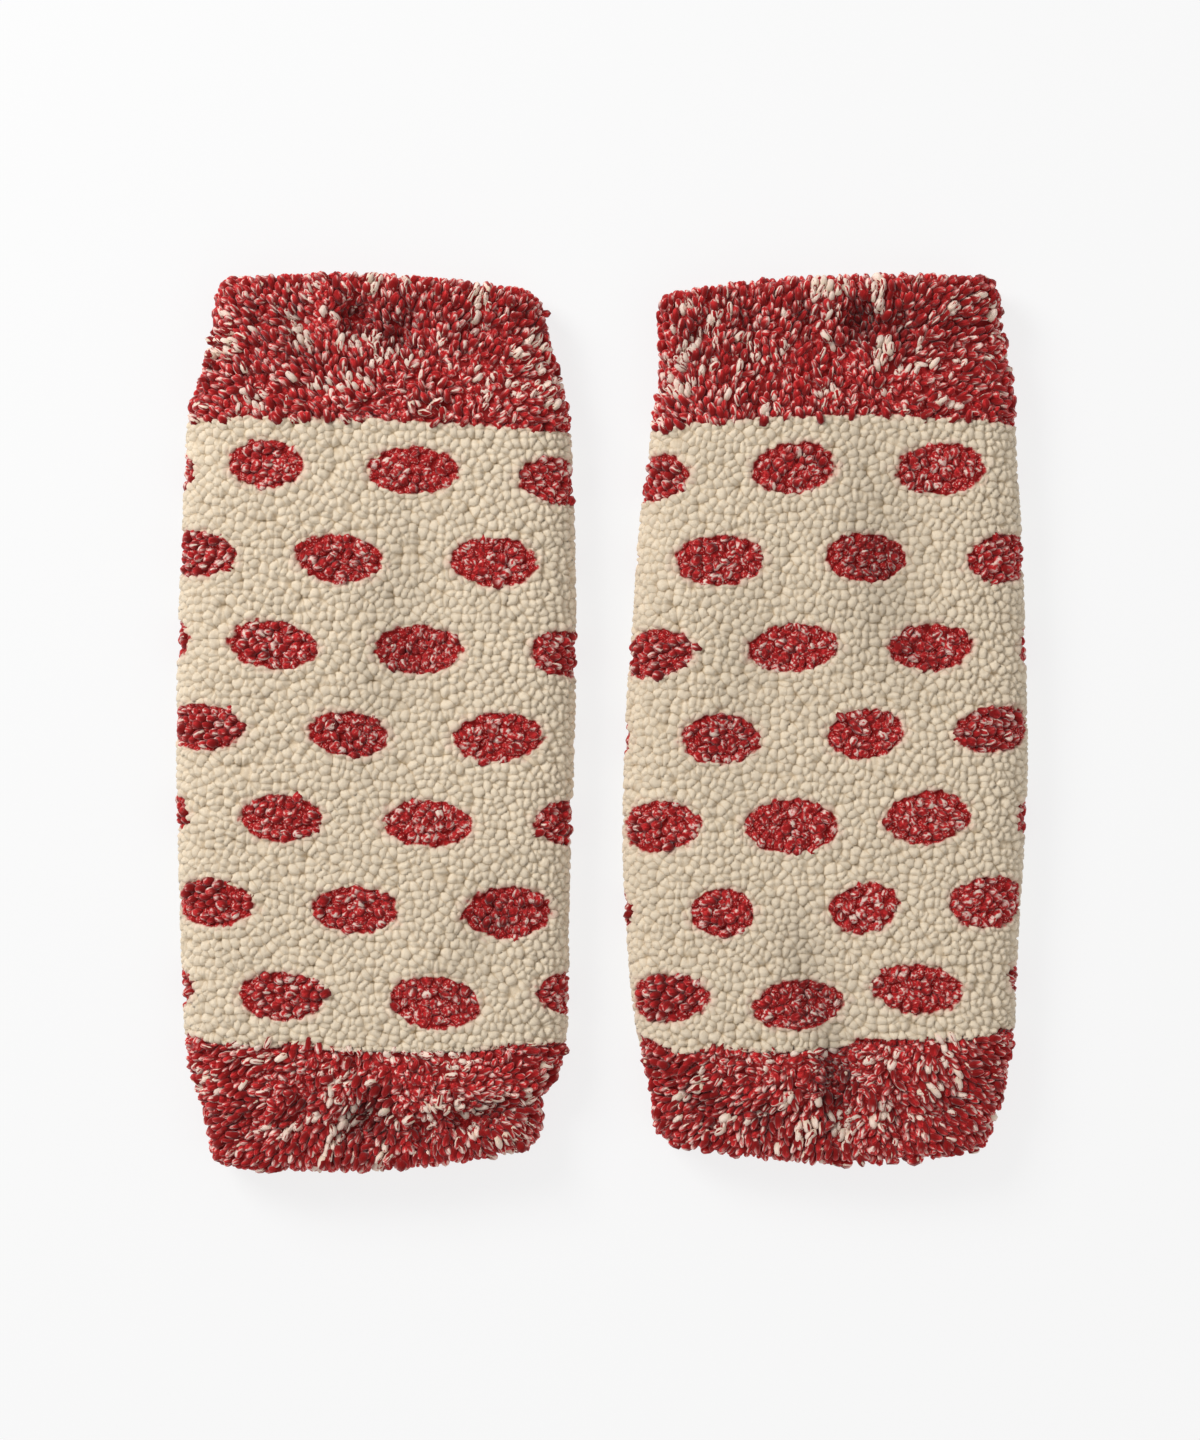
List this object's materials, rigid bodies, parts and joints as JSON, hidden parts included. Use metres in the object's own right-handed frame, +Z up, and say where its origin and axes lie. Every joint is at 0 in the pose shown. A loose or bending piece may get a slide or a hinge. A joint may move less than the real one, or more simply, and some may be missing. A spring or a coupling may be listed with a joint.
{
  "type": "pair of leg warmers",
  "caption": "Pair of footless tubular leg warmers in thick looped fleece with dotted bodies and banded elastic cuffs, laid flat side by side.",
  "frame": {"origin": "middle of the pair's outline, on the surface that it lies on", "axes": "+Y along the leg warmers towards the upper cuffs, +X across the pair to the right one, +Z up from the surface"},
  "size_m": [0.3596, 0.378, 0.0267],
  "materials": {
    "cream_fleece": "deep looped fleece, cream with red dots",
    "red_fleece": "deep looped fleece, red melange"
  },
  "bodies": {
    "root": {"left_body": "cream_fleece", "left_upper_cuff": "red_fleece", "left_lower_cuff": "red_fleece", "right_body": "cream_fleece", "right_upper_cuff": "red_fleece", "right_lower_cuff": "red_fleece"}
  },
  "joints": []
}
